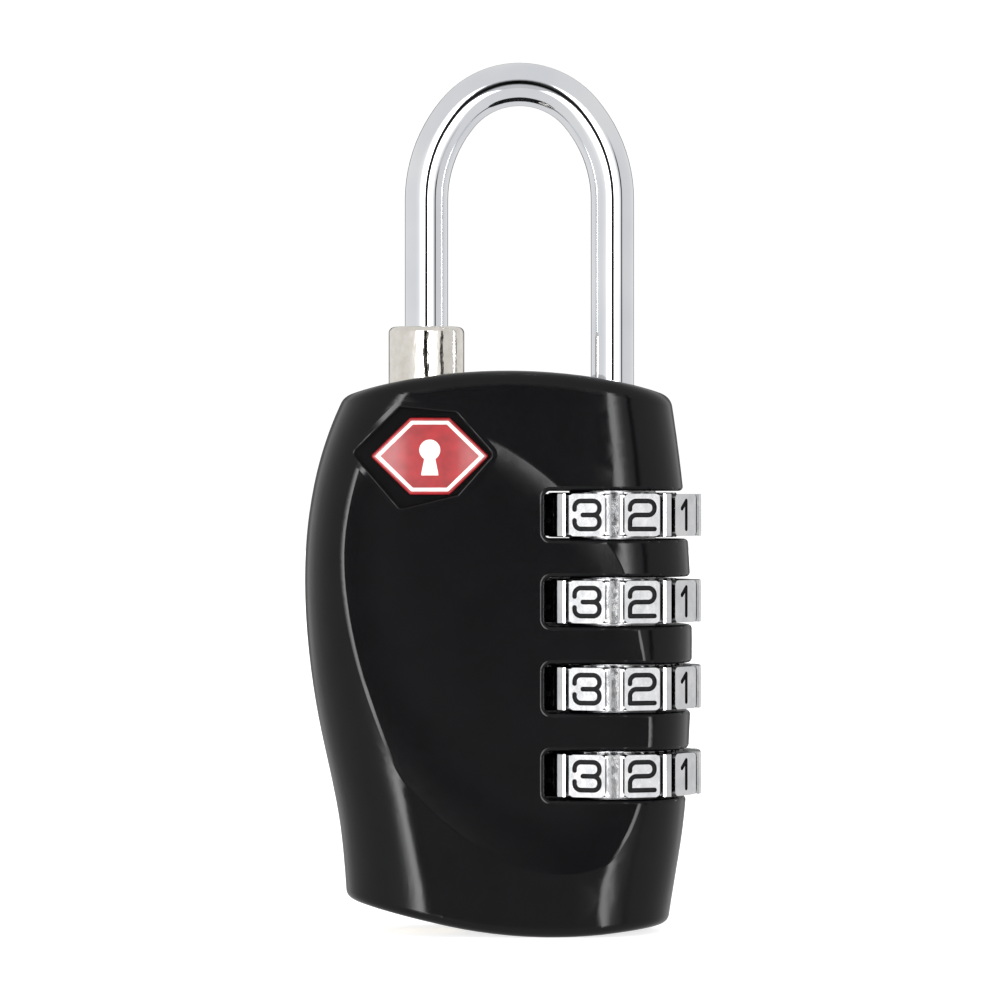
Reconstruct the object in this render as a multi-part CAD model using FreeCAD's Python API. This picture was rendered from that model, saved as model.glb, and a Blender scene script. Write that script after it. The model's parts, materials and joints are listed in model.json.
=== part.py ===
"""A four-dial luggage padlock with a second, keyed release, built as an assembly.

Millimetres, +Z up towards the shackle, the badge on the front (-Y), the dials on the right (+X).
Parts are drawn from a datum just under the case and saved lowered, so that the case's lowest point is
at zero. The shackle's long leg is the spindle of the dial stack: four fins on it pass the gates of
four clutch sleeves. Its short leg ends inside a collar, which the key draws down through a barrel cam.
"""

import FreeCAD
import Part
import math
import os

from FreeCAD import Vector

os.makedirs("parts", exist_ok=True)

UP = Vector(0, 0, 1)
BACK = Vector(0, 1, 0)
RIGHT = Vector(1, 0, 0)
FAR = 40.0                # longer than anything is deep

# ---- Case: outline stations (height, x), and how far each side rounds over -------------------------
LEFT_EDGE = [(-3, -14.4), (4, -14.58), (12, -15.4), (20, -17.07), (27, -18.1), (33.5, -18.42),
             (40, -17.93), (46, -16.5), (50.5, -14.6), (56, -11.0)]
RIGHT_EDGE = [(-3, 14.66), (4, 15.5), (11, 16.58), (18, 17.05), (26, 17.34), (34, 17.15),
              (42, 16.48), (50, 15.4), (56, 14.3)]
LEFT_ROUND = [(-3, 7.9), (3, 7.65), (6, 7.4), (9, 7.0), (14, 6.75), (19, 6.6), (25, 5.7), (32, 4.7),
              (36, 4.4), (43, 4.6), (47, 4.9), (50, 6.0), (56, 8.0)]
RIGHT_ROUND = [(-3, 6.3), (3, 6.9), (6, 7.1), (9, 6.5), (12, 5.6), (15, 5.0), (19.5, 4.6), (23, 5.0),
               (27, 5.7), (30, 6.2), (35, 6.7), (42, 6.6), (50, 6.2), (56, 5.8)]
CASE_HALF = 7.25          # half the case's thickness at its middle
FACE_CROWN = 0.12         # how much the flat faces fall away towards the sides
CREASE_POWER = 1.8        # superellipse powers of the rounded sides: where they leave the face
SIDE_POWER = 2.2          # and where they meet at the parting line
SECTION_STEP = 3.0        # spacing of the loft's sections
LOFT_FOOT, LOFT_TOP = -3.0, 56.0
TOP_ARCH_R, TOP_ARCH_X, CASE_TOP = 52.0, 0.3, 52.36
FOOT_Z = 0.73             # the case's lowest point: everything is saved lowered by this
FOOT_ARCH_R, FOOT_ARCH_X = 45.0, 4.35
FOOT_SLOPES = (0.232, 0.1)  # the foot runs on straight at these slopes, to the left and the right
TOP_RIM_R, FOOT_RIM_R = 1.5, 0.9

# ---- Dish: a shallow tilted ellipse sunk into the front and back faces -----------------------------
DISH_X, DISH_Z = -0.76, 26.96
DISH_LONG, DISH_SHORT = 22.0, 13.7
DISH_TILT = math.radians(29)
DISH_DEPTH = 0.22
DISH_WALL_WIDE, DISH_WALL_NARROW = 5.0, 2.6   # its wall all round, and where it is narrowest
DISH_NARROW_AT = math.radians(95)         # direction of that from its middle, from +X towards +Z
DISH_EDGE_R = 1.0         # rounding of its edge
DISH_GRID = 0.75          # spacing of the grid that its floor is drawn through

# ---- Badge: a domed plate in a six-sided pocket, whose rim stands clear of the dish ---------------
POCKET = [(-13.75, 44.8), (-9.5, 49.0), (-4.4, 48.5), (-1.05, 44.7), (-4.3, 41.0), (-9.45, 39.75)]
BADGE_X, BADGE_Z = -6.78, 44.55
BADGE_TIP, BADGE_FLAT, BADGE_TALL = 5.4, 1.8, 3.5
POCKET_RIM, POCKET_EDGE_R = 0.55, 0.15
POCKET_CORNER_R, BADGE_CORNER_R, BADGE_EDGE_R = 0.45, 0.25, 0.18
POCKET_FLOOR, BADGE_SIDE, BADGE_DOME = 6.2, 6.72, 7.12

# ---- Shackle -------------------------------------------------------------------------------------
WIRE_R = 2.0
LONG_LEG_X, SHORT_LEG_X = 10.0, -7.2
LONG_LEG_FOOT, SHORT_LEG_FOOT = 4.6, 52.0
SPRING_LINE = 68.3        # height where the legs start to bend
CROWN_RISE = 10.7         # from there to the crown's centreline
CROWN_R = 7.4
LEG_HOLE_R = 2.12
LEG_CHAMFER = 0.4
LEG_SINK = 0.4            # countersink of the hole that the long leg enters

# ---- Dial stack, from the top dial down ----------------------------------------------------------
PITCH = 7.9
DIAL_Z = [39.2 - PITCH * i for i in range(4)]
DIGITS = 10
DIAL_R = 8.4              # over the ribs between the digits
PAD_FLAT = 8.12           # axis to a digit's flat pad
PAD_WIDTH, PAD_TALL, PAD_CORNER_R = 3.4, 3.85, 0.45
RIB_WIDTH, RIB_CHAMFER = 0.95, 0.16
CORE_R, CORE_TALL = 7.78, 3.6
HUB_R, HUB_TALL = 5.9, 4.1
HUB_NOTCHES, HUB_NOTCH, HUB_NOTCH_DEEP = 30, 0.55, 0.35
BAY_R, BAY_TALL = 8.8, 4.4
WINDOW_LEFT, WINDOW_CORNER_R, WINDOW_EDGE_R = 3.65, 0.6, 0.4
ZERO_AT = 90.0            # degrees from the front, towards +X, where the digit 0 stands

# Digits: each stroke is the path of the engraver's cutter about the middle of a pad, as corners with
# the radius that the path turns each one by. A closed stroke ends where it began.
STROKE, STROKE_DEPTH = 0.44, 0.22
SIDE, TALL, TURN = 1.18, 1.27, 0.6        # half width, half height and usual radius
OPEN_STROKES = {
    1: [[(-0.6, 0.6, 0), (0.1, TALL, 0), (0.1, -TALL, 0)]],
    2: [[(-SIDE, 0.5, 0), (-SIDE, TALL, TURN), (SIDE, TALL, TURN), (SIDE, 0, TURN), (-SIDE, 0, TURN),
         (-SIDE, -TALL, 0), (SIDE, -TALL, 0)]],
    3: [[(-SIDE, 0.5, 0), (-SIDE, TALL, TURN), (SIDE, TALL, TURN), (SIDE, 0, TURN), (-0.4, 0, 0)],
        [(-0.4, 0, 0), (SIDE, 0, TURN), (SIDE, -TALL, TURN), (-SIDE, -TALL, TURN), (-SIDE, -0.5, 0)]],
    4: [[(SIDE, -0.5, 0), (-SIDE, -0.5, 0), (0.45, TALL, 0)],
        [(-0.365, 0.385, 0), (0.45, TALL, 0), (0.45, -TALL, 0)]],
    5: [[(1.0, TALL, 0), (-1.0, TALL, 0), (-1.0, 0.12, 0), (SIDE, 0.12, TURN), (SIDE, -TALL, TURN),
         (-SIDE, -TALL, TURN), (-SIDE, -0.6, 0)]],
    6: [[(0.8, TALL, 0), (-SIDE, TALL, 0.9), (-SIDE, -0.4, 0)]],
    7: [[(-SIDE, TALL, 0), (SIDE, TALL, 0), (-0.3, -TALL, 0)]],
    9: [[(-0.8, -TALL, 0), (SIDE, -TALL, 0.9), (SIDE, 0.4, 0)]],
}
CLOSED_STROKES = {                         # digit to (left, foot, right, top, radius) loops
    0: [(-SIDE, -TALL, SIDE, TALL, 0.85)],
    6: [(-SIDE, -TALL, SIDE, 0.12, TURN)],
    8: [(-SIDE, -TALL, SIDE, 0, TURN), (-1.0, 0, 1.0, TALL, TURN)],
    9: [(-SIDE, -0.12, SIDE, TALL, TURN)],
}

SLEEVE_R, SLEEVE_HALF = 4.0, 3.9          # half of a sleeve's height, end gap aside
SLEEVE_CHANNEL_R = 4.1
SLEEVE_GAP = 0.05
POCKET_R = 3.15           # space in a sleeve that a fin turns in
WEB_FOOT = 1.4            # gate web, from here above the dial's middle up to the sleeve's top
GATE_WIDTH, GATE_R = 1.3, 3.02
FIN_WIDTH, FIN_R, FIN_FOOT, FIN_TOP = 1.1, 2.9, -1.5, 0.1
KEY_WIDTH, KEY_R, KEY_FOOT, KEY_TOP = 0.9, 4.85, -0.3, 0.7
GROOVE_WIDTH, GROOVE_R, GROOVE_FOOT = 1.1, 4.98, -0.4
CHANNEL_FOOT, CHANNEL_TOP = 7.5, 43.2
FIN_LOFT_R, FIN_LOFT_TOP = 3.3, 47.4      # room above the stack for the top fin
LEG_WELL_FOOT = 4.2

# ---- Index marks on the right side, above and below the dials --------------------------------------
INDEX_Z, INDEX_TALL, INDEX_WIDE, INDEX_DEEP = (43.7, 10.9), 1.9, 0.5, 0.35

# ---- Small parts of the dial side ----------------------------------------------------------------
WASHER_R, WASHER_TALL = 4.2, 0.6
RESET_SEAT_TALL = 0.4
RESET_COIL_R, RESET_WIRE_R, RESET_TURNS = 3.1, 0.3, 3.0
COMB_X, COMB_THICK, COMB_WIDTH, COMB_FOOT, COMB_TOP = -1.4, 0.35, 4.6, 9.0, 44.5
FINGER_WIDTH, FINGER_NOSE_X, FINGER_NOSE_R, FINGER_DROP = 3.0, 1.0, 0.45, 2.6
PINS = [(-13.6, 14.0), (-15.0, 32.0), (-13.6, 46.6), (1.4, 49.6), (2.6, 4.2)]
PIN_R, PIN_HALF = 0.8, 3.2
FIT = 0.02                # gap round a part that is pressed or laid in
COIL_STEPS = 16           # straight steps to a turn of a spring

# ---- Keyed release, on the short leg's axis ------------------------------------------------------
COLLAR_R, COLLAR_TOP, COLLAR_ROUND = 3.5, 56.55, 0.55
COLLAR_BORE_FOOT, COLLAR_SINK = 51.5, 0.35
FLANGE_R, FLANGE_FOOT, FLANGE_TOP = 4.2, 45.0, 46.0
COLLAR_HOLE_R, COLLAR_WELL_R, COLLAR_WELL_TOP = 3.6, 4.5, 46.2
STEM_R, STEM_FOOT = 1.9, 31.2
CROSS_PIN_R, CROSS_PIN_HALF, CROSS_PIN_Z = 0.7, 4.85, 32.6
COLLAR_DROP = 4.8
CAM_R, CAM_BORE_R, CAM_FOOT, CAM_TOP = 4.2, 2.0, 23.4, 34.0
CAM_WELL_R, CAM_TURN, CAM_SLOT_R, CAM_SLOT_STEPS = 4.35, 90.0, 0.84, 20
GUIDE_REACH, GUIDE_HALF = 5.1, 0.85
SEAT_R, SEAT_FOOT, SEAT_TALL = 4.9, 34.2, 0.6
COLLAR_COIL_R, COLLAR_WIRE_R, COLLAR_TURNS = 3.2, 0.3, 6.0
CYLINDER_R, CYLINDER_BORE_R, CYLINDER_FOOT, CYLINDER_TOP = 4.55, 3.2, 4.6, 22.4
PLUG_R, PLUG_FOOT, PLUG_TOP, PLUG_HOLE_R, PLUG_CHAMFER = 3.1, 2.5, 23.0, 3.25, 0.25
KEYWAY_WIDTH, KEYWAY_TALL, KEYWAY_TOP = 1.5, 4.8, 19.0
TONGUE_WIDTH, TONGUE_LONG, TONGUE_TALL = 1.4, 5.8, 1.6
WAFERS, WAFER_FOOT, WAFER_PITCH, WAFER_THICK = 5, 6.4, 2.6, 0.7
WAFER_WIDE, WAFER_LONG = 3.6, 4.2
WAFER_CHANNEL, WAFER_GAP, WAFER_RIM = 0.55, 0.05, 0.7


# ---- Helpers -------------------------------------------------------------------------------------

def cylinder(radius, foot, top, x=0.0):
    """An upright cylinder between two heights, on the axis at x."""
    return Part.makeCylinder(radius, top - foot, Vector(x, 0, foot), UP)


def tube(outer, inner, foot, top, x=0.0):
    """An upright tube between two heights."""
    return cylinder(outer, foot, top, x).cut(cylinder(inner, foot - 1, top + 1, x))


def block(x, y, z):
    """A box from three (low, high) pairs."""
    corner = Vector(x[0], y[0], z[0])
    return Part.makeBox(x[1] - x[0], y[1] - y[0], z[1] - z[0], corner)


def centred_block(wide, deep, foot, top, x=0.0):
    """A box centred on the upright axis at x."""
    return block((x - wide / 2, x + wide / 2), (-deep / 2, deep / 2), (foot, top))


def turned(shape, degrees, x=0.0):
    """A copy turned about the upright axis at x."""
    copy = shape.copy()
    copy.rotate(Vector(x, 0, 0), UP, degrees)
    return copy


def moved(shape, x=0.0, y=0.0, z=0.0):
    """A copy moved."""
    copy = shape.copy()
    copy.translate(Vector(x, y, z))
    return copy


def fused(shapes):
    """One solid from several that overlap."""
    return shapes[0].multiFuse(shapes[1:]).removeSplitter()


def near_edges(shape, test):
    """The edges whose bounding boxes pass a test."""
    return [edge for edge in shape.Edges if test(edge.BoundBox)]


def save(name, shape):
    """Writes one node and prints what it holds."""
    solids = shape.Solids
    whole = solids[0] if len(solids) == 1 else Part.makeCompound(solids)
    whole.translate(Vector(0, 0, -FOOT_Z))
    whole.exportStep("parts/" + name + ".step")
    print(name, len(solids), "solids", round(sum(s.Volume for s in solids), 2), whole.isValid())


# ---- Case ----------------------------------------------------------------------------------------

def station_curve(stations):
    """A smooth function of height through (height, value) stations."""
    curve = Part.BSplineCurve()
    heights = [float(z) for z, value in stations]
    curve.interpolate(Points=[Vector(value, 0, z) for z, value in stations], Parameters=heights)
    return lambda z: curve.value(z).x


left_edge, right_edge = station_curve(LEFT_EDGE), station_curve(RIGHT_EDGE)
left_round, right_round = station_curve(LEFT_ROUND), station_curve(RIGHT_ROUND)


def face_depth(x, z):
    """Depth of the face from the mid-plane before its sides round over."""
    middle = (left_edge(z) + right_edge(z)) / 2
    half = (right_edge(z) - left_edge(z)) / 2
    return CASE_HALF - FACE_CROWN * ((x - middle) / half) ** 2


def case_section(z):
    """The closed outline of the case at one height."""
    angles = [math.radians(a) for a in (90, 77, 64, 52, 40, 29, 19, 11, 5)]
    turns = [(math.sin(a) ** (2 / CREASE_POWER), math.cos(a) ** (2 / SIDE_POWER)) for a in angles]
    start, end = left_edge(z) + left_round(z), right_edge(z) - right_round(z)
    xs = [(start - left_round(z) * out, deep) for out, deep in turns]
    xs += [(start + (end - start) * share, 1.0) for share in (0, 0.03, 0.1, 0.3, 0.5, 0.7, 0.9, 0.97, 1)]
    xs += [(end + right_round(z) * out, deep) for out, deep in reversed(turns)]
    front = [Vector(x, -face_depth(x, z) * share, z) for x, share in xs]
    front[0].y = 0
    front[-1].y = 0
    rear = [Vector(p.x, -p.y, z) for p in reversed(front[1:-1])]
    curve = Part.BSplineCurve()
    curve.interpolate(Points=front + rear, PeriodicFlag=True)
    return Part.Wire([curve.toShape()])


def arch(radius, x, z):
    """A long cylinder along Y, its seam kept away from the arch that is used."""
    shape = Part.makeCylinder(radius, 2 * FAR, Vector(x, -FAR, z), BACK)
    side = -1 if z < radius / 2 else 1
    shape.rotate(Vector(x, 0, z), BACK, 90 * (1 - side))
    return shape


def foot_side():
    """Everything above the foot: an arch that runs on straight at both ends."""
    centre = Vector(FOOT_ARCH_X, -FAR, FOOT_Z + FOOT_ARCH_R)
    lean_left, lean_right = (math.atan(slope) for slope in FOOT_SLOPES)
    start = centre + Vector(-math.sin(lean_left), 0, -math.cos(lean_left)) * FOOT_ARCH_R
    end = centre + Vector(math.sin(lean_right), 0, -math.cos(lean_right)) * FOOT_ARCH_R
    far_left = start + Vector(-FAR, 0, FAR * FOOT_SLOPES[0])
    far_right = end + Vector(FAR, 0, FAR * FOOT_SLOPES[1])
    corners = [far_left, far_left + UP * 2 * FAR, far_right + UP * 2 * FAR, far_right]
    edges = [Part.Arc(start, centre - UP * FOOT_ARCH_R, end).toShape()]
    edges.append(Part.makePolygon([end, far_right, corners[2], corners[1], far_left, start]))
    return Part.Face(Part.Wire(edges[:1] + edges[1].Edges)).extrude(BACK * 2 * FAR)


def case_block():
    """The case as one solid block, arched at its top and foot, with rounded rims."""
    count = round((LOFT_TOP - LOFT_FOOT) / SECTION_STEP)
    heights = [LOFT_FOOT + (LOFT_TOP - LOFT_FOOT) * i / count for i in range(count + 1)]
    shape = Part.makeLoft([case_section(z) for z in heights], True, False)
    shape = shape.common(arch(TOP_ARCH_R, TOP_ARCH_X, CASE_TOP - TOP_ARCH_R))
    shape = shape.common(foot_side())
    middle = CASE_TOP / 2
    top_rim = near_edges(shape, lambda b: b.XLength > 10 and b.ZMin > middle)
    shape = shape.makeFillet(TOP_RIM_R, top_rim)
    foot_rim = near_edges(shape, lambda b: b.XLength > 1 and b.YLength < FAR and b.ZMax < middle / 2)
    return shape.makeFillet(FOOT_RIM_R, foot_rim)


def window(z):
    """The slot that one dial shows through, round the front, right and back."""
    half = BAY_TALL / 2
    shape = block((WINDOW_LEFT, FAR), (-FAR, FAR), (z - half, z + half))
    corners = near_edges(shape, lambda b: b.YLength > FAR and b.XMax < WINDOW_LEFT + 1)
    return shape.makeFillet(WINDOW_CORNER_R, corners)


def with_windows(shape):
    """The case with its dial windows cut, and their outer edges eased."""
    for z in DIAL_Z:
        shape = shape.cut(window(z))
    stack_top = DIAL_Z[0] + BAY_TALL
    outer = near_edges(shape, lambda b: b.XMin > WINDOW_LEFT - 0.1 and b.ZMax < stack_top
                       and not (b.YLength > CASE_HALF and b.XLength < 0.1))
    return shape.makeFillet(WINDOW_EDGE_R, outer)


def hexagon(corners, grow=0.0):
    """A six-sided face in the plane of the front, grown outwards all round."""
    points = [Vector(x, 0, z) for x, z in corners]
    outline = Part.makePolygon(points + points[:1])
    if grow:
        outline = outline.makeOffset2D(grow, join=2)
    return Part.Face(outline)


def hex_prism(corners, back, front, corner_r, grow=0.0):
    """A six-sided prism between two depths, its corners rounded."""
    shape = moved(hexagon(corners, grow), y=-back).extrude(Vector(0, back - front, 0))
    depth = front - back
    corner_edges = near_edges(shape, lambda b: abs(b.YLength - depth) < 0.01)
    return shape.makeFillet(corner_r, corner_edges)


def dish_floor(x, z):
    """Depth of the dish's surface: the face's, less its own, rising on past its edge."""
    along = (z - DISH_Z) * math.cos(DISH_TILT) - (x - DISH_X) * math.sin(DISH_TILT)
    across = (x - DISH_X) * math.cos(DISH_TILT) + (z - DISH_Z) * math.sin(DISH_TILT)
    out = math.hypot(along / DISH_LONG, across / DISH_SHORT)
    growth = math.hypot(along / DISH_LONG ** 2, across / DISH_SHORT ** 2)
    towards = math.cos(math.atan2(z - DISH_Z, x - DISH_X) - DISH_NARROW_AT)
    wall = DISH_WALL_WIDE + (DISH_WALL_NARROW - DISH_WALL_WIDE) * max(0.0, towards) ** 2
    from_edge = (1 - out) * out / growth if out > 0.5 else wall
    rise = 1 - min(1.0, from_edge / wall)
    return face_depth(x, z) - DISH_DEPTH * (1 - rise ** 2)


def dish_cutter():
    """Everything in front of the dish's surface."""
    reach = DISH_LONG + 3
    count = round(2 * reach / DISH_GRID)
    rows = []
    for i in range(count + 1):
        x = DISH_X - reach + 2 * reach * i / count
        row = []
        for j in range(count + 1):
            z = DISH_Z - reach + 2 * reach * j / count
            row.append(Vector(x, -dish_floor(x, z), z))
        rows.append(row)
    floor = Part.BSplineSurface()
    floor.interpolate(rows)
    return floor.toShape().extrude(Vector(0, -FAR, 0))


def with_dishes(block_shape):
    """The case with its front and back faces sunk, and the badge's pocket with its raised rim."""
    cutter = dish_cutter()
    shape = block_shape.cut(cutter).cut(cutter.mirror(Vector(0, 0, 0), BACK))
    creases = near_edges(shape, lambda b: b.ZLength > 30 and b.YLength < 1 and abs(b.YMin) > 6)
    shape = shape.makeFillet(DISH_EDGE_R, creases)
    rim = hex_prism(POCKET, POCKET_FLOOR, FAR, POCKET_CORNER_R + POCKET_RIM, POCKET_RIM)
    shape = shape.fuse(block_shape.common(rim))
    shape = shape.cut(hex_prism(POCKET, POCKET_FLOOR, FAR, POCKET_CORNER_R))
    return shape.makeFillet(POCKET_EDGE_R, [edge for edge in shape.Edges if on_pocket_rim(edge)])


def on_pocket_rim(edge):
    """Whether an edge runs along the pocket's outline at the case's face."""
    middle = edge.valueAt((edge.FirstParameter + edge.LastParameter) / 2)
    outline = hexagon(POCKET).OuterWire
    off_outline = outline.distToShape(Part.Vertex(middle.x, 0, middle.z))[0]
    return off_outline < POCKET_RIM / 2 and edge.BoundBox.YMax < -BADGE_SIDE


def dial_cavities():
    """Bays for the dials, the channel for their sleeves and the wells for the long leg."""
    x = LONG_LEG_X
    half = BAY_TALL / 2
    shapes = [cylinder(BAY_R, z - half, z + half, x) for z in DIAL_Z]
    shapes.append(cylinder(SLEEVE_CHANNEL_R, CHANNEL_FOOT, CHANNEL_TOP, x))
    shapes.append(cylinder(FIN_LOFT_R, CHANNEL_TOP - 1, FIN_LOFT_TOP, x))
    shapes.append(cylinder(WASHER_R + FIT, FIN_LOFT_TOP, FIN_LOFT_TOP + WASHER_TALL + FIT, x))
    shapes.append(cylinder(LEG_HOLE_R, LEG_WELL_FOOT, CASE_TOP + 1, x))
    shapes.append(block((COMB_X - FIT, x), (-COMB_WIDTH / 2 - FIT, COMB_WIDTH / 2 + FIT),
                        (COMB_FOOT, COMB_TOP)))
    return shapes


def release_cavities():
    """The collar's well, the cam's well with its pin guides, and the key cylinder's seat."""
    x = SHORT_LEG_X
    guide_foot = CROSS_PIN_Z - COLLAR_DROP - GUIDE_HALF
    return [
        cylinder(COLLAR_HOLE_R, COLLAR_WELL_TOP - 1, CASE_TOP + 1, x),
        cylinder(COLLAR_WELL_R, SEAT_FOOT, COLLAR_WELL_TOP, x),
        cylinder(SEAT_R + FIT, SEAT_FOOT, SEAT_FOOT + SEAT_TALL, x),
        cylinder(CAM_WELL_R, CYLINDER_TOP - 1, SEAT_FOOT, x),
        centred_block(2 * GUIDE_REACH, 2 * GUIDE_HALF, guide_foot, SEAT_FOOT, x),
        cylinder(CYLINDER_R + FIT, CYLINDER_FOOT, CYLINDER_TOP, x),
        cylinder(PLUG_HOLE_R, 0, CYLINDER_FOOT + 1, x),
    ]


def pin_along_y(x, z, radius, half):
    """A round pin through the parting plane."""
    return Part.makeCylinder(radius, 2 * half, Vector(x, -half, z), BACK)


def index_marks():
    """A fine groove on the right side above the top dial and below the bottom one."""
    reach = INDEX_DEEP + 1
    shapes = []
    for z in INDEX_Z:
        x = right_edge(z) - INDEX_DEEP
        shapes.append(block((x, x + reach), (-INDEX_WIDE / 2, INDEX_WIDE / 2),
                            (z - INDEX_TALL / 2, z + INDEX_TALL / 2)))
    return shapes


def make_case():
    """The two shells, parted on the mid-plane."""
    shape = with_windows(with_dishes(case_block()))
    cavities = dial_cavities() + release_cavities() + index_marks()
    cavities += [pin_along_y(x, z, PIN_R + FIT, PIN_HALF + FIT) for x, z in PINS]
    sink_foot = Vector(LONG_LEG_X, 0, arch_height(LONG_LEG_X) - LEG_SINK)
    cavities.append(Part.makeCone(LEG_HOLE_R, LEG_HOLE_R + 2 * LEG_SINK, 2 * LEG_SINK, sink_foot, UP))
    for cavity in cavities:
        shape = shape.cut(cavity)
    front = shape.common(block((-FAR, FAR), (-FAR, 0), (-FAR, 2 * FAR)))
    rear = shape.common(block((-FAR, FAR), (0, FAR), (-FAR, 2 * FAR)))
    save("front_shell", front)
    save("rear_shell", rear)


def arch_height(x):
    """Height of the case's arched top at x."""
    return CASE_TOP - TOP_ARCH_R + math.sqrt(TOP_ARCH_R ** 2 - (x - TOP_ARCH_X) ** 2)


def make_badge():
    """The domed plate that sits in the pocket."""
    x, z = BADGE_X, BADGE_Z
    corners = [(x - BADGE_TIP, z), (x - BADGE_FLAT, z + BADGE_TALL), (x + BADGE_FLAT, z + BADGE_TALL),
               (x + BADGE_TIP, z), (x + BADGE_FLAT, z - BADGE_TALL), (x - BADGE_FLAT, z - BADGE_TALL)]
    plate = hex_prism(corners, POCKET_FLOOR, BADGE_DOME + 1, BADGE_CORNER_R)
    rise = BADGE_DOME - BADGE_SIDE
    dome_r = (BADGE_TIP ** 2 + rise ** 2) / (2 * rise)
    plate = plate.common(Part.makeSphere(dome_r, Vector(x, dome_r - BADGE_DOME, z)))
    rim = near_edges(plate, lambda b: b.YMax < -POCKET_FLOOR - 0.1 and b.YLength < rise)
    save("badge", plate.makeFillet(BADGE_EDGE_R, rim))


# ---- Shackle -------------------------------------------------------------------------------------

def make_shackle():
    """Two legs, two wide shoulders and a tighter crown, swept as one wire, with fins on the long leg."""
    middle = (LONG_LEG_X + SHORT_LEG_X) / 2
    half = (LONG_LEG_X - SHORT_LEG_X) / 2
    rise = CROWN_RISE - CROWN_R
    shoulder_r = (half ** 2 + rise ** 2 - CROWN_R ** 2) / (2 * (half - CROWN_R))
    turn = math.atan2(rise, shoulder_r - half)
    crown = Vector(middle, 0, SPRING_LINE + rise)
    arcs = []
    for side in (1, -1):
        centre = Vector(middle + side * (half - shoulder_r), 0, SPRING_LINE)
        points = []
        for share in (0, 0.5, 1):
            angle = turn * share
            points.append(centre + Vector(side * math.cos(angle), 0, math.sin(angle)) * shoulder_r)
        arcs.append(points)
    right, left = arcs
    top = crown + UP * CROWN_R
    edges = [
        Part.LineSegment(Vector(LONG_LEG_X, 0, LONG_LEG_FOOT), right[0]).toShape(),
        Part.Arc(right[0], right[1], right[2]).toShape(),
        Part.Arc(right[2], top, left[2]).toShape(),
        Part.Arc(left[2], left[1], left[0]).toShape(),
        Part.LineSegment(left[0], Vector(SHORT_LEG_X, 0, SHORT_LEG_FOOT)).toShape(),
    ]
    profile = Part.Wire([Part.makeCircle(WIRE_R, Vector(LONG_LEG_X, 0, LONG_LEG_FOOT), UP)])
    wire = Part.Wire(edges).makePipeShell([profile], True, True)
    ends = near_edges(wire, lambda b: b.ZLength < 0.01 and b.ZMax < SHORT_LEG_FOOT + 1
                      and (b.ZMax < LONG_LEG_FOOT + 1 or b.ZMin > SHORT_LEG_FOOT - 1))
    wire = wire.makeChamfer(LEG_CHAMFER, ends)
    fins = []
    for z in DIAL_Z:
        fin = block((LONG_LEG_X, LONG_LEG_X + FIN_R), (-FIN_WIDTH / 2, FIN_WIDTH / 2),
                    (z + FIN_FOOT, z + FIN_TOP))
        fins.append(fin.common(cylinder(FIN_R, z + FIN_FOOT, z + FIN_TOP, LONG_LEG_X)))
    save("shackle", fused([wire] + fins))


# ---- Dials ---------------------------------------------------------------------------------------

def rounded_wire(corners):
    """An open path through corners (x, z, radius), in the plane of the front."""
    edges = []
    at = Vector(corners[0][0], 0, corners[0][1])
    for before, corner, after in zip(corners, corners[1:], corners[2:]):
        point = Vector(corner[0], 0, corner[1])
        back = (Vector(before[0], 0, before[1]) - point).normalize()
        on = (Vector(after[0], 0, after[1]) - point).normalize()
        half_angle = back.getAngle(on) / 2
        cut_back = corner[2] / math.tan(half_angle)
        start, end = point + back * cut_back, point + on * cut_back
        if (start - at).Length > 1e-6:
            edges.append(Part.LineSegment(at, start).toShape())
        if corner[2]:
            bisector = (back + on).normalize()
            middle = point + bisector * (corner[2] / math.sin(half_angle) - corner[2])
            edges.append(Part.Arc(start, middle, end).toShape())
        at = end
    edges.append(Part.LineSegment(at, Vector(corners[-1][0], 0, corners[-1][1])).toShape())
    return Part.Wire(edges)


def open_stroke(corners):
    """A face as wide as the cutter along an open path, with round ends."""
    outline = rounded_wire(corners).makeOffset2D(STROKE / 2, join=0, fill=False, openResult=False)
    return Part.Face(outline)


def rounded_box_face(left, foot, right, top, radius):
    """A rectangle with rounded corners, in the plane of the front."""
    middle = (left + right) / 2
    ring = [(middle, foot, 0), (right, foot, radius), (right, top, radius), (left, top, radius),
            (left, foot, radius), (middle, foot, 0)]
    return Part.Face(rounded_wire(ring))


def closed_stroke(left, foot, right, top, radius):
    """A face as wide as the cutter round a closed loop."""
    half = STROKE / 2
    outer = rounded_box_face(left - half, foot - half, right + half, top + half, radius + half)
    inner = rounded_box_face(left + half, foot + half, right - half, top - half, radius - half)
    return outer.cut(inner)


def digit_cutters(digit):
    """The strokes of one digit as solids, ready to cut a pad that faces the front."""
    faces = [open_stroke(corners) for corners in OPEN_STROKES.get(digit, [])]
    faces += [closed_stroke(*loop) for loop in CLOSED_STROKES.get(digit, [])]
    floor = STROKE_DEPTH - PAD_FLAT
    return [moved(face, x=LONG_LEG_X, y=floor).extrude(Vector(0, -1, 0)) for face in faces]


def dial_pad():
    """One digit's pad, facing the front."""
    x, half = LONG_LEG_X, PAD_WIDTH / 2
    pad = block((x - half, x + half), (-PAD_FLAT, -CORE_R + 1), (-PAD_TALL / 2, PAD_TALL / 2))
    corners = near_edges(pad, lambda b: b.YLength > 0.1)
    return pad.makeFillet(PAD_CORNER_R, corners)


def dial_rib():
    """One of the ribs between the pads, facing the front."""
    x, half = LONG_LEG_X, RIB_WIDTH / 2
    rib = block((x - half, x + half), (-DIAL_R - 1, -CORE_R + 1), (-PAD_TALL / 2, PAD_TALL / 2))
    rib = rib.common(cylinder(DIAL_R, -PAD_TALL, PAD_TALL, x))
    edges = near_edges(rib, lambda b: b.ZLength > 1 and b.YMax < -CORE_R)
    return rib.makeChamfer(RIB_CHAMFER, edges)


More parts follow.
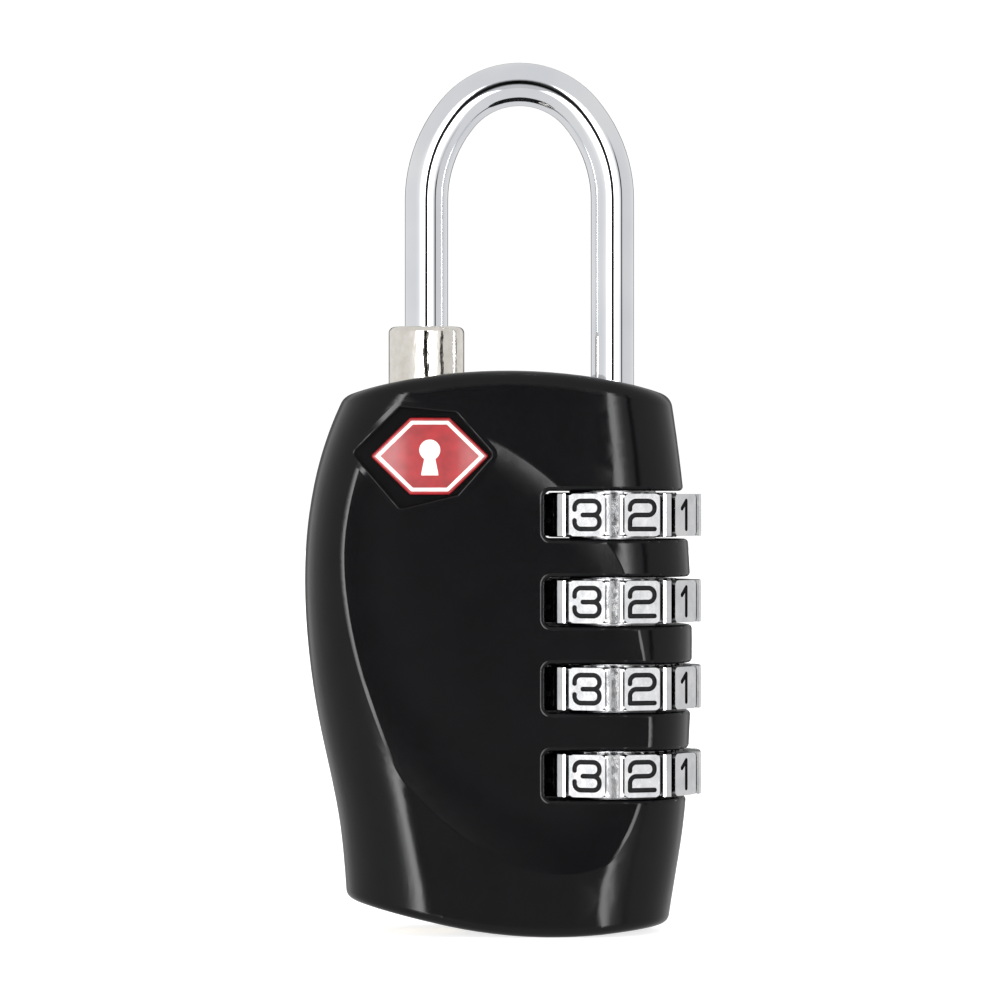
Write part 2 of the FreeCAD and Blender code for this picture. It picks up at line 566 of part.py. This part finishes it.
def dial_bore():
    """The dial's bore: plain for the sleeve, a splined stretch for its key, and room to slip below."""
    x, half = LONG_LEG_X, HUB_TALL / 2
    cutters = [cylinder(SLEEVE_CHANNEL_R, -PITCH, PITCH, x)]
    cutters.append(cylinder(GROOVE_R, -half - 1, GROOVE_FOOT, x))
    for i in range(DIGITS):
        groove = block((x, x + GROOVE_R), (-GROOVE_WIDTH / 2, GROOVE_WIDTH / 2),
                       (GROOVE_FOOT - 0.1, half + 1))
        cutters.append(turned(groove, i * 360 / DIGITS, x))
    return cutters


def make_dials():
    """Four dials: ten engraved pads, ten ribs, and a notched hub that stands proud top and bottom."""
    x, step = LONG_LEG_X, 360 / DIGITS
    pieces = [cylinder(CORE_R, -CORE_TALL / 2, CORE_TALL / 2, x)]
    hub = cylinder(HUB_R, -HUB_TALL / 2, HUB_TALL / 2, x)
    notch = block((x + HUB_R - HUB_NOTCH_DEEP, x + HUB_R + 1), (-HUB_NOTCH / 2, HUB_NOTCH / 2),
                  (-PITCH, PITCH))
    hub = hub.cut([turned(notch, i * 360 / HUB_NOTCHES, x) for i in range(HUB_NOTCHES)])
    pieces.append(hub)
    pad, rib = dial_pad(), dial_rib()
    cutters = dial_bore()
    for digit in range(DIGITS):
        facing = ZERO_AT - step * digit
        pieces.append(turned(pad, facing, x))
        pieces.append(turned(rib, facing + step / 2, x))
        cutters += [turned(cutter, facing, x) for cutter in digit_cutters(digit)]
    dial = fused(pieces).cut(cutters)
    for i, z in enumerate(DIAL_Z):
        save("dial_%d" % (i + 1), moved(dial, z=z))


def make_sleeves():
    """Four clutch sleeves: each lets the fin below pass only where its gate faces it."""
    x = LONG_LEG_X
    foot, top = -SLEEVE_HALF, SLEEVE_HALF
    sleeve = cylinder(SLEEVE_R, foot + SLEEVE_GAP, top - SLEEVE_GAP, x)
    key = block((x - KEY_R, x - SLEEVE_R + 0.4), (-KEY_WIDTH / 2, KEY_WIDTH / 2), (KEY_FOOT, KEY_TOP))
    key = key.common(cylinder(KEY_R, KEY_FOOT, KEY_TOP, x))
    gate = block((x, x + GATE_R), (-GATE_WIDTH / 2, GATE_WIDTH / 2), (0, PITCH))
    sleeve = sleeve.cut(cylinder(LEG_HOLE_R, -PITCH, PITCH, x))
    sleeve = sleeve.cut(cylinder(POCKET_R, foot - 1, WEB_FOOT, x))
    sleeve = sleeve.cut(gate).fuse(key)
    for i, z in enumerate(DIAL_Z):
        save("clutch_sleeve_%d" % (i + 1), moved(sleeve, z=z))


def coil(x, coil_r, wire_r, foot, top, turns):
    """A spring between two heights, its wire bent in short straight steps."""
    low, high = foot + wire_r, top - wire_r
    count = round(turns * COIL_STEPS)
    points = []
    for i in range(count + 1):
        angle = 2 * math.pi * i / COIL_STEPS
        points.append(Vector(x + coil_r * math.cos(angle), coil_r * math.sin(angle),
                             low + (high - low) * i / count))
    along = (points[1] - points[0]).normalize()
    profile = Part.Wire([Part.makeCircle(wire_r, points[0], along)])
    return Part.makePolygon(points).makePipeShell([profile], True, True, 1)


def make_dial_side_parts():
    """The stop washer, the reset spring and its seat, and the comb whose fingers click the dials."""
    x = LONG_LEG_X
    save("stop_washer", tube(WASHER_R, LEG_HOLE_R, FIN_LOFT_TOP, FIN_LOFT_TOP + WASHER_TALL, x))
    seat_top = CHANNEL_FOOT + RESET_SEAT_TALL
    save("reset_seat", tube(SLEEVE_R, LEG_HOLE_R, CHANNEL_FOOT, seat_top, x))
    sleeve_foot = DIAL_Z[-1] - SLEEVE_HALF
    save("reset_spring", coil(x, RESET_COIL_R, RESET_WIRE_R, seat_top, sleeve_foot, RESET_TURNS))
    half = COMB_WIDTH / 2
    pieces = [block((COMB_X, COMB_X + COMB_THICK), (-half, half), (COMB_FOOT + FIT, COMB_TOP - FIT))]
    half = FINGER_WIDTH / 2
    for z in DIAL_Z:
        root = Vector(COMB_X + COMB_THICK / 2, 0, z - FINGER_DROP)
        nose = Vector(FINGER_NOSE_X, 0, z)
        reach = nose - root
        leaf = block((-COMB_THICK / 2, COMB_THICK / 2), (-half, half), (0, reach.Length))
        leaf.rotate(Vector(0, 0, 0), BACK, math.degrees(math.atan2(reach.x, reach.z)))
        leaf.translate(root)
        pieces.append(leaf)
        pieces.append(pin_along_y(nose.x, nose.z, FINGER_NOSE_R, half))
    save("detent_comb", fused(pieces))
    pins = [pin_along_y(x, z, PIN_R, PIN_HALF) for x, z in PINS]
    save("assembly_pins", Part.makeCompound(pins))


# ---- Keyed release -------------------------------------------------------------------------------

def make_collar():
    """The collar, its flange and stem in one, the pin across the stem, and the spring that lifts them."""
    x = SHORT_LEG_X
    body = cylinder(COLLAR_R, FLANGE_TOP - 0.5, COLLAR_TOP, x)
    crown_edge = near_edges(body, lambda b: b.ZMin > COLLAR_TOP - 0.01 and b.XLength > COLLAR_R)
    body = body.makeFillet(COLLAR_ROUND, crown_edge)
    collar = fused([body, cylinder(FLANGE_R, FLANGE_FOOT, FLANGE_TOP, x),
                    cylinder(STEM_R, STEM_FOOT, FLANGE_FOOT + 0.5, x)])
    collar = collar.cut(cylinder(LEG_HOLE_R, COLLAR_BORE_FOOT, COLLAR_TOP + 1, x))
    mouth = Part.makeCone(LEG_HOLE_R, LEG_HOLE_R + 2 * COLLAR_SINK, 2 * COLLAR_SINK,
                          Vector(x, 0, COLLAR_TOP - COLLAR_SINK), UP)
    collar = collar.cut(mouth)
    pin = Part.makeCylinder(CROSS_PIN_R, 2 * CROSS_PIN_HALF,
                            Vector(x - CROSS_PIN_HALF, 0, CROSS_PIN_Z), RIGHT)
    hole = Part.makeCylinder(CROSS_PIN_R + FIT, 2 * FAR, Vector(-FAR, 0, CROSS_PIN_Z), RIGHT)
    save("release_collar", collar.cut(hole))
    save("follower_pin", pin)
    seat_top = SEAT_FOOT + SEAT_TALL
    save("collar_seat", tube(SEAT_R, STEM_R + 0.1, SEAT_FOOT, seat_top, x))
    save("collar_spring", coil(x, COLLAR_COIL_R, COLLAR_WIRE_R, seat_top, FLANGE_FOOT, COLLAR_TURNS))


def make_cam():
    """The barrel cam: two slots fall by the collar's drop over a quarter turn."""
    x = SHORT_LEG_X
    cam = tube(CAM_R, CAM_BORE_R, CAM_FOOT, CAM_TOP, x)
    tongue_slot = centred_block(TONGUE_LONG + 0.2, TONGUE_WIDTH + 0.1, CAM_FOOT - 1,
                                PLUG_TOP + TONGUE_TALL + 0.1, x)
    slots = []
    for i in range(CAM_SLOT_STEPS + 1):
        share = i / CAM_SLOT_STEPS
        height = CROSS_PIN_Z - COLLAR_DROP * share
        drill = Part.makeCylinder(CAM_SLOT_R, 2 * PITCH, Vector(x - PITCH, 0, height), RIGHT)
        slots.append(turned(drill, -CAM_TURN * share, x))
    save("release_cam", cam.cut(tongue_slot).cut(slots))


def make_key_cylinder():
    """The fixed cylinder, the plug that turns in it, and the wafers drawn in as by a key."""
    x = SHORT_LEG_X
    channel = centred_block(WAFER_WIDE + 0.2, 2 * (CYLINDER_BORE_R + WAFER_CHANNEL),
                            WAFER_FOOT - 1, CYLINDER_TOP - 1.5, x)
    save("key_cylinder", tube(CYLINDER_R, CYLINDER_BORE_R, CYLINDER_FOOT, CYLINDER_TOP, x).cut(channel))
    plug = cylinder(PLUG_R, PLUG_FOOT, PLUG_TOP, x)
    face = near_edges(plug, lambda b: b.ZMax < PLUG_FOOT + 0.01)
    plug = plug.makeChamfer(PLUG_CHAMFER, face)
    plug = plug.fuse(centred_block(TONGUE_LONG, TONGUE_WIDTH, PLUG_TOP - 0.5, PLUG_TOP + TONGUE_TALL, x)
                     .common(cylinder(PLUG_R, 0, 2 * PLUG_TOP, x)))
    keyway = centred_block(KEYWAY_WIDTH, KEYWAY_TALL, 0, KEYWAY_TOP, x)
    plug = plug.cut(keyway)
    wafers = []
    for i in range(WAFERS):
        foot = WAFER_FOOT + WAFER_PITCH * i
        top = foot + WAFER_THICK
        plug = plug.cut(centred_block(WAFER_WIDE + 2 * WAFER_GAP, WAFER_LONG + 2 * WAFER_GAP,
                                      foot - WAFER_GAP, top + WAFER_GAP, x))
        wafer = centred_block(WAFER_WIDE, WAFER_LONG, foot, top, x)
        slot = centred_block(KEYWAY_WIDTH + 0.1, WAFER_LONG - 2 * WAFER_RIM, foot - 1, top + 1, x)
        wafers.append(wafer.cut(slot))
    save("key_plug", plug)
    save("wafers", Part.makeCompound(wafers))


make_case()
make_badge()
make_shackle()
make_dials()
make_sleeves()
make_dial_side_parts()
make_collar()
make_cam()
make_key_cylinder()
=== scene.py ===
"""The look of a black four-dial travel padlock: paint, plating, engraving, badge and studio."""

import json
import math

import bmesh
import bpy
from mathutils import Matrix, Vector


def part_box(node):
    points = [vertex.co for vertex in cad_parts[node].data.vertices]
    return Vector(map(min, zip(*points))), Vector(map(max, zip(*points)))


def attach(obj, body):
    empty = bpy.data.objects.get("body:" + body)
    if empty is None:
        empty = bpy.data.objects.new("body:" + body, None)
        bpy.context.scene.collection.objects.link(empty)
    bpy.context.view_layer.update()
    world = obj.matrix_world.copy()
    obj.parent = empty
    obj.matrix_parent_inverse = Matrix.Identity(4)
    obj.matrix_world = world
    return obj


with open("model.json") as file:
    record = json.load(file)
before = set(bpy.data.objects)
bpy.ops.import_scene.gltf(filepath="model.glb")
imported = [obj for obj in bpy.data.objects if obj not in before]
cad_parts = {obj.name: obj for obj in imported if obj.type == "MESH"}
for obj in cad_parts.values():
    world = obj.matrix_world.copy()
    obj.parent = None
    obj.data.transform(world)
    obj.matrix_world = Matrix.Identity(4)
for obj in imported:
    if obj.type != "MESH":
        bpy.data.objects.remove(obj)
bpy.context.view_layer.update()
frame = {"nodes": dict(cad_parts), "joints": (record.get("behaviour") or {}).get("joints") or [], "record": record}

MM = 0.001
NODES = frame["nodes"]

# Sizes and places, as in the frame
DIALS = ["dial_%d" % i for i in (1, 2, 3, 4)]
DIAL_AXIS_X = next(joint["pos_m"][0] for joint in frame["joints"] if joint["name"] == "dial_1_spin")
DIGITS = 10
PAD_FLAT = 8.12 * MM              # dial axis to a digit's flat pad
ZERO_AT = 90.0                    # degrees from the front towards +X, where the digit 0 stands
DIGIT_HALF_WIDTH, DIGIT_HALF_TALL = 1.45 * MM, 1.6 * MM
GROOVE_LIP, GROOVE_DEEPEST = 0.02 * MM, 0.4 * MM    # a face this far below a pad is engraving
BADGE_TIP, BADGE_FLAT, BADGE_TALL = 5.4 * MM, 1.8 * MM, 3.5 * MM
BADGE_RISE = 0.4 * MM             # how far the dome's middle stands above its tips

# Badge print
PRINT_PROUD, PRINT_SUNK = 0.012 * MM, -0.05 * MM    # the layer's two sides, from the dome
LINE_OUTER, LINE_INNER, LINE_STEPS = 0.3 * MM, 0.62 * MM, 16
EYE_R, EYE_UP = 0.95 * MM, 0.55 * MM
SKIRT_TOP, SKIRT_FOOT, SKIRT_END = 0.34 * MM, 0.8 * MM, -1.75 * MM
KEYHOLE_POINTS, KEYHOLE_RINGS = 120, (0.02, 0.35, 0.7, 1.0)
TRACE_FROM, TRACE_STEP = 3 * MM, 0.01 * MM

# Studio
CAMERA_X, CAMERA_Z, CAMERA_FAR, SEEN_WIDTH = -0.4 * MM, 39.83 * MM, 400 * MM, 92.5 * MM
FLOOR_HALF, FLOOR_FRONT, FLOOR_GLOW = 3.0, -0.08, 0.75
# Radiance round the lock, as (degrees from the camera's side towards +X, radiance)
TENT = [(-180, 0.12), (-160, 0.2), (-146, 0.8), (-60, 0.78), (-44, 0.85), (-36, 1.0), (-30, 1.8),
        (-24, 5.5), (-17, 11.0), (-11, 11.0), (-9, 6.0), (-7.5, 0.6), (-6, 0.12), (-3, 0.03),
        (0, 0.0), (3, 0.03), (6, 0.12), (7.5, 0.6), (9, 6.0), (11, 9.0), (18, 9.0), (24, 5.0),
        (30, 2.0), (36, 1.0), (44, 0.8), (46, 0.05), (51, 0.05), (53, 0.7), (90, 0.72),
        (146, 0.8), (160, 0.2), (180, 0.12)]
TENT_PEAK = 11.0
TENT_PLAIN, PLAIN_FROM, PLAIN_FULL = 0.75, 13, 26    # radiance, and degrees off the level
TABLE_GLOW, TABLE_FULL, TABLE_FROM = 0.6, -8, -1     # radiance, and degrees off the level
BACKDROP = 1.05


# ---- Node helpers --------------------------------------------------------------------------------

NOISE_LOW, NOISE_HIGH = 0.3, 0.7    # nearly all of a noise lies between these
HIDDEN, OPEN = 0.3, 0.75            # shares of open sky where the painted crevice shade is full and where it ends


class Tree:
    """A node tree under construction."""

    def __init__(self, tree):
        self.tree = tree

    def node(self, kind, **values):
        """Adds a node, sets its properties and its unlinked inputs."""
        added = self.tree.nodes.new(kind)
        for key, value in values.items():
            if hasattr(added, key):
                setattr(added, key, value)
            else:
                added.inputs[key.replace("_", " ")].default_value = value
        return added

    def link(self, source, target):
        """Links an output to an input."""
        self.tree.links.new(source, target)

    def maths(self, operation, *values):
        """A sum on numbers and outputs."""
        made = self.node("ShaderNodeMath", operation=operation)
        for socket, value in zip(made.inputs, values):
            if isinstance(value, (int, float)):
                socket.default_value = value
            else:
                self.link(value, socket)
        return made.outputs[0]

    def ramp(self, factor, *stops, interpolation="LINEAR"):
        """A colour ramp through (position, value or colour) stops."""
        made = self.node("ShaderNodeValToRGB")
        made.color_ramp.interpolation = interpolation
        elements = made.color_ramp.elements
        while len(elements) < len(stops):
            elements.new(0.5)
        for element, (position, colour) in zip(elements, stops):
            element.position = position
            if isinstance(colour, (int, float)):
                colour = (colour, colour, colour)
            element.color = (*colour, 1)
        self.link(factor, made.inputs["Fac"])
        return made.outputs["Color"]

    def mix(self, blend, first, second):
        """Blends a second colour fully over a first."""
        made = self.node("ShaderNodeMix", data_type="RGBA", blend_type=blend, Factor=1.0)
        self.link(first, made.inputs["A"])
        self.link(second, made.inputs["B"])
        return made.outputs["Result"]


class Shader(Tree):
    """A node material under construction."""

    def __init__(self, name):
        self.material = bpy.data.materials.new(name)
        self.material.use_nodes = True
        super().__init__(self.material.node_tree)
        self.surface = self.tree.nodes["Principled BSDF"]

    def set(self, **values):
        """Sets the surface's own sockets."""
        for key, value in values.items():
            self.surface.inputs[key.replace("_", " ")].default_value = value

    def place(self, stretch=(1, 1, 1)):
        """Object coordinates in millimetres, stretched."""
        coordinates = self.node("ShaderNodeTexCoord")
        mapping = self.node("ShaderNodeMapping")
        mapping.inputs["Scale"].default_value = [s / MM for s in stretch]
        self.link(coordinates.outputs["Object"], mapping.inputs["Vector"])
        return mapping.outputs["Vector"]

    def noise(self, size_mm, detail=2.0, stretch=(1, 1, 1)):
        """Noise with features of about a size in millimetres."""
        made = self.node("ShaderNodeTexNoise", Scale=1 / size_mm, Detail=detail)
        self.link(self.place(stretch), made.inputs["Vector"])
        return made.outputs["Fac"]

    def between(self, factor, first, second, socket):
        """Lets a socket of the surface wander between two values with a noise."""
        wandering = self.ramp(factor, (NOISE_LOW, first), (NOISE_HIGH, second))
        self.link(wandering, self.surface.inputs[socket])

    def rough(self, factor, low, high):
        """Roughness that wanders between two values."""
        self.between(factor, low, high, "Roughness")

    def tint(self, factor, first, second):
        """Base colour that wanders between two colours."""
        self.between(factor, first, second, "Base Color")

    def paint_crevice_shade(self, reach_mm, dark):
        """Paints shade into the colour: darkens it where something else stands close in front of the surface."""
        # painted shade: ambient occlusion darkens the base colour in crevices and corners
        hidden = self.node("ShaderNodeAmbientOcclusion", samples=8, Distance=reach_mm * MM)
        shade = self.ramp(hidden.outputs["AO"], (HIDDEN, dark), (OPEN, 1.0))
        base = self.surface.inputs["Base Color"]
        self.link(self.mix("MULTIPLY", base.links[0].from_socket, shade), base)

    def bump(self, *layers):
        """Stacks bumps, each (height, depth in millimetres)."""
        normal = None
        for height, depth_mm in layers:
            made = self.node("ShaderNodeBump", Strength=1.0, Distance=depth_mm * MM)
            self.link(height, made.inputs["Height"])
            if normal is not None:
                self.link(normal, made.inputs["Normal"])
            normal = made.outputs["Normal"]
        self.link(normal, self.surface.inputs["Normal"])


# ---- Materials -----------------------------------------------------------------------------------

def black_paint():
    """Satin black paint: a fine orange peel and a speckle that shows in the highlights."""
    shader = Shader("black_paint")
    speckle = shader.noise(0.10, 3.0)
    shader.tint(shader.noise(3.0), (0.0012, 0.0012, 0.0016), (0.002, 0.002, 0.0026))
    shader.rough(speckle, 0.115, 0.165)
    shader.set(Specular_IOR_Level=0.26)
    shader.bump((shader.noise(0.9), 0.002), (speckle, 0.0008))
    return shader.material


def shackle_chrome():
    """Bright plate over drawn wire: long faint draw lines and very slight waviness."""
    shader = Shader("shackle_chrome")
    shader.tint(shader.noise(6.0), (0.80, 0.82, 0.86), (0.88, 0.89, 0.91))
    lines = shader.noise(0.16, 2.0, (1, 1, 0.02))
    wave = shader.noise(1.6, 1.0, (1, 1, 0.12))
    shader.rough(lines, 0.015, 0.035)
    shader.set(Metallic=1.0)
    shader.bump((wave, 0.006), (lines, 0.0006))
    return shader.material


def dial_chrome():
    """Plate over a casting: slightly softened and pitted, with painted shade darkening its corners."""
    shader = Shader("dial_chrome")
    shader.tint(shader.noise(1.5), (0.66, 0.67, 0.69), (0.8, 0.8, 0.81))
    # painted shade: the colour is darkened in the dial's corners and crevices
    shader.paint_crevice_shade(0.7, 0.15)
    pits = shader.noise(0.22, 3.0)
    shader.rough(shader.noise(0.6), 0.09, 0.2)
    shader.set(Metallic=1.0)
    shader.bump((shader.noise(1.1), 0.012), (pits, 0.003))
    return shader.material


def digit_paint():
    """Black paint wiped into the engraving."""
    shader = Shader("digit_paint")
    shader.tint(shader.noise(0.3), (0.004, 0.004, 0.005), (0.012, 0.012, 0.013))
    shader.rough(shader.noise(0.2), 0.25, 0.4)
    shader.set(Specular_IOR_Level=0.12)
    shader.bump((shader.noise(0.15), 0.003))
    return shader.material


def collar_nickel():
    """Warm satin nickel with a mottled, hammered-looking casting skin."""
    shader = Shader("collar_nickel")
    shader.tint(shader.noise(0.8, 3.0), (0.78, 0.745, 0.68), (0.90, 0.87, 0.81))
    shader.rough(shader.noise(0.35), 0.03, 0.07)
    shader.set(Metallic=1.0)
    mottle = shader.noise(0.6, 2.0, (1, 1, 0.35))
    shader.bump((mottle, 0.03), (shader.noise(0.15), 0.002))
    return shader.material


def plain_metal(name, dark, light, low, high, grain_mm, stretch=(1, 1, 1)):
    """A machined metal with grain in one direction."""
    shader = Shader(name)
    grain = shader.noise(grain_mm, 3.0, stretch)
    shader.tint(shader.noise(2.0), dark, light)
    shader.rough(grain, low, high)
    shader.set(Metallic=1.0)
    shader.bump((grain, 0.002))
    return shader.material


def under_resin(name, first, second):
    """A printed colour under clear resin."""
    shader = Shader(name)
    shader.tint(shader.noise(1.2), first, second)
    shader.rough(shader.noise(0.8), 0.3, 0.4)
    shader.set(Specular_IOR_Level=0.3, Coat_Weight=0.45, Coat_Roughness=0.05, Coat_IOR=1.4)
    shader.bump((shader.noise(1.5), 0.004))
    return shader.material


# ---- Painting the frame --------------------------------------------------------------------------

def dress(name, material):
    """Gives one CAD node a material, in place of what it came with."""
    slots = NODES[name].data.materials
    slots.clear()
    slots.append(material)


def in_engraving(x, y, z, middle):
    """Whether a point, about the dial's axis, is in the engraving of a pad."""
    step = 2 * math.pi / DIGITS
    zero = math.radians(ZERO_AT)
    azimuth = math.atan2(x, -y)
    facing = zero + round((azimuth - zero) / step) * step
    depth = PAD_FLAT - (x * math.sin(facing) - y * math.cos(facing))
    across = abs(x * math.cos(facing) + y * math.sin(facing))
    return (GROOVE_LIP < depth < GROOVE_DEEPEST and across < DIGIT_HALF_WIDTH
            and abs(z - middle) < DIGIT_HALF_TALL)


def paint_digits(name, paint):
    """Puts the paint on the faces that lie in the engraving."""
    mesh = NODES[name].data
    mesh.materials.append(paint)
    low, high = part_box(name)
    middle = (low.z + high.z) / 2
    for polygon in mesh.polygons:
        x, y, z = polygon.center
        if in_engraving(x - DIAL_AXIS_X, y, z, middle):
            polygon.material_index = 1


def dress_frame():
    """Every CAD node gets its finish."""
    finishes = {
        "painted_case": black_paint(),
        "shackle_chrome": shackle_chrome(),
        "dial_chrome": dial_chrome(),
        "collar_nickel": collar_nickel(),
        "badge_enamel": under_resin("badge_red", (0.22, 0.006, 0.009), (0.32, 0.01, 0.014)),
        "inner_steel": plain_metal("inner_steel", (0.42, 0.42, 0.43), (0.56, 0.56, 0.57), 0.25, 0.4,
                                   0.2, (1, 1, 0.1)),
        "spring_steel": plain_metal("spring_steel", (0.3, 0.3, 0.32), (0.42, 0.42, 0.44), 0.2, 0.35,
                                    0.15),
        "key_brass": plain_metal("key_brass", (0.58, 0.42, 0.16), (0.74, 0.56, 0.26), 0.2, 0.36,
                                 0.18, (1, 1, 0.2)),
    }
    digits = digit_paint()
    for entry in frame["record"]["subparts"]:
        dress(entry["node"], finishes[entry["material_slot"]])
    for name in DIALS:
        paint_digits(name, digits)


# ---- Badge print ---------------------------------------------------------------------------------

class Dome:
    """The badge's domed face, placed by the frame, for laying print on."""

    def __init__(self):
        low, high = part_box("badge")
        self.x, self.z, self.front = (low.x + high.x) / 2, (low.z + high.z) / 2, low.y
        self.radius = (BADGE_TIP ** 2 + BADGE_RISE ** 2) / (2 * BADGE_RISE)

    def point(self, x, z, proud):
        """A point of the face, from its middle, standing proud of it."""
        fall = self.radius - math.sqrt(self.radius ** 2 - x * x - z * z)
        return Vector((self.x + x, self.front + fall - proud, self.z + z))


def printed(name, dome, rows, material):
    """A thin closed band on the dome: rows of (x, z) points, each row across the band."""
    mesh = bmesh.new()
    layers = [[[mesh.verts.new(dome.point(x, z, depth)) for x, z in row] for row in rows]
              for depth in (PRINT_PROUD, PRINT_SUNK)]
    count, across = len(rows), len(rows[0])
    for i in range(count):
        j = (i + 1) % count
        for side, layer in enumerate(layers):
            for k in range(across - 1):
                corners = [layer[i][k], layer[i][k + 1], layer[j][k + 1], layer[j][k]]
                mesh.faces.new(corners if side else corners[::-1])
        for k in (0, across - 1):
            mesh.faces.new([layers[0][i][k], layers[0][j][k], layers[1][j][k], layers[1][i][k]])
    bmesh.ops.recalc_face_normals(mesh, faces=mesh.faces)
    data = bpy.data.meshes.new(name)
    mesh.to_mesh(data)
    mesh.free()
    layer = bpy.data.objects.new(name, data)
    bpy.context.scene.collection.objects.link(layer)
    data.materials.append(material)
    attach(layer, "case")


def inset_hexagon(inset):
    """Points along the badge's outline, drawn in by some amount."""
    corners = [(BADGE_TIP, 0), (BADGE_FLAT, BADGE_TALL), (-BADGE_FLAT, BADGE_TALL),
               (-BADGE_TIP, 0), (-BADGE_FLAT, -BADGE_TALL), (BADGE_FLAT, -BADGE_TALL)]
    share = 1 - inset / BADGE_TALL
    lean = math.hypot(BADGE_TIP - BADGE_FLAT, BADGE_TALL) / BADGE_TALL
    tip = BADGE_TIP - inset * lean
    flat = tip - (BADGE_TIP - BADGE_FLAT) * share
    corners = [(math.copysign(tip if z == 0 else flat, x), z * share) for x, z in corners]
    points = []
    for (x, z), (next_x, next_z) in zip(corners, corners[1:] + corners[:1]):
        points += [(x + (next_x - x) * i / LINE_STEPS, z + (next_z - z) * i / LINE_STEPS)
                   for i in range(LINE_STEPS)]
    return points


def in_keyhole(x, z):
    """Whether a point is in the round eye or in the flared skirt below it."""
    share = (z - SKIRT_END) / (EYE_UP - SKIRT_END)
    in_skirt = 0 <= share <= 1 and abs(x) <= SKIRT_FOOT + (SKIRT_TOP - SKIRT_FOOT) * share
    return in_skirt or math.hypot(x, z - EYE_UP) <= EYE_R


def keyhole_outline():
    """The keyhole's edge, found from outside along lines to its middle."""
    points = []
    for i in range(KEYHOLE_POINTS):
        angle = 2 * math.pi * i / KEYHOLE_POINTS
        reach = TRACE_FROM
        while not in_keyhole(reach * math.sin(angle), reach * math.cos(angle)):
            reach -= TRACE_STEP
        points.append((reach * math.sin(angle), reach * math.cos(angle)))
    return points


def print_badge():
    """A white line round the red field, and a white keyhole in its middle."""
    dome = Dome()
    white = under_resin("badge_white", (0.7, 0.69, 0.68), (0.82, 0.81, 0.8))
    line = list(zip(inset_hexagon(LINE_OUTER), inset_hexagon(LINE_INNER)))
    printed("badge_line", dome, line, white)
    rows = [[(x * share, z * share) for share in KEYHOLE_RINGS] for x, z in keyhole_outline()]
    printed("badge_keyhole", dome, rows, white)


# ---- Studio --------------------------------------------------------------------------------------

def make_floor():
    """A plain white floor that stays white under the lock."""
    mesh = bpy.data.meshes.new("floor")
    mesh.from_pydata([(-FLOOR_HALF, FLOOR_FRONT, 0), (FLOOR_HALF, FLOOR_FRONT, 0),
                      (FLOOR_HALF, FLOOR_HALF, 0), (-FLOOR_HALF, FLOOR_HALF, 0)], [], [(0, 1, 2, 3)])
    floor = bpy.data.objects.new("floor", mesh)
    bpy.context.scene.collection.objects.link(floor)
    shader = Shader("floor_white")
    shader.set(Base_Color=(0.9, 0.9, 0.9, 1), Roughness=0.9, Emission_Color=(1, 1, 1, 1),
               Emission_Strength=FLOOR_GLOW)
    mesh.materials.append(shader.material)
    floor.visible_glossy = False


def make_world():
    """A white tent, dim behind, with a gap for the camera, a soft strip on each side of the gap and
    one narrow gap on the right."""
    world = bpy.data.worlds.new("studio")
    bpy.context.scene.world = world
    world.use_nodes = True
    world.node_tree.nodes.clear()
    sky = Tree(world.node_tree)
    coordinates = sky.node("ShaderNodeTexCoord")
    split = sky.node("ShaderNodeSeparateXYZ")
    sky.link(coordinates.outputs["Generated"], split.inputs[0])
    azimuth = sky.maths("ARCTAN2", split.outputs["X"], sky.maths("MULTIPLY", split.outputs["Y"], -1))
    turn = sky.maths("MULTIPLY_ADD", azimuth, 1 / (2 * math.pi), 0.5)
    stops = [(degrees / 360 + 0.5, radiance / TENT_PEAK) for degrees, radiance in TENT]
    level = sky.ramp(turn, *stops, interpolation="EASE")
    # High above and far below the level the tent is plain
    band = sky.node("ShaderNodeMapRange", interpolation_type="SMOOTHSTEP",
                    From_Min=math.sin(math.radians(PLAIN_FROM)),
                    From_Max=math.sin(math.radians(PLAIN_FULL)))
    sky.link(sky.maths("ABSOLUTE", split.outputs["Z"]), band.inputs["Value"])
    tent = sky.node("ShaderNodeMix", data_type="RGBA", B=(*[TENT_PLAIN / TENT_PEAK] * 3, 1))
    sky.link(band.outputs[0], tent.inputs["Factor"])
    sky.link(level, tent.inputs["A"])
    # Below the level the gap is no darker than a table top
    table = sky.node("ShaderNodeMapRange", From_Min=math.sin(math.radians(TABLE_FULL)),
                     From_Max=math.sin(math.radians(TABLE_FROM)),
                     To_Min=TABLE_GLOW / TENT_PEAK, To_Max=0.0)
    sky.link(split.outputs["Z"], table.inputs["Value"])
    lighting = sky.node("ShaderNodeBackground", Strength=TENT_PEAK)
    sky.link(sky.mix("LIGHTEN", tent.outputs["Result"], table.outputs[0]), lighting.inputs["Color"])
    backdrop = sky.node("ShaderNodeBackground", Color=(1, 1, 1, 1), Strength=BACKDROP)
    choice = sky.node("ShaderNodeMixShader")
    sky.link(sky.node("ShaderNodeLightPath").outputs["Is Camera Ray"], choice.inputs[0])
    sky.link(lighting.outputs[0], choice.inputs[1])
    sky.link(backdrop.outputs[0], choice.inputs[2])
    sky.link(choice.outputs[0], sky.node("ShaderNodeOutputWorld").inputs["Surface"])


def make_camera():
    """Level with the badge's foot, straight on, far enough away to look almost flat."""
    data = bpy.data.cameras.new("camera")
    camera = bpy.data.objects.new("camera", data)
    bpy.context.scene.collection.objects.link(camera)
    data.angle = 2 * math.atan(SEEN_WIDTH / 2 / CAMERA_FAR)
    data.clip_start, data.clip_end = 0.01, 20
    camera.location = (CAMERA_X, -CAMERA_FAR, CAMERA_Z)
    camera.rotation_euler = (math.radians(90), 0, 0)
    bpy.context.scene.camera = camera


bpy.context.scene.view_settings.view_transform = "Standard"
make_camera()
make_world()
make_floor()
dress_frame()
print_badge()
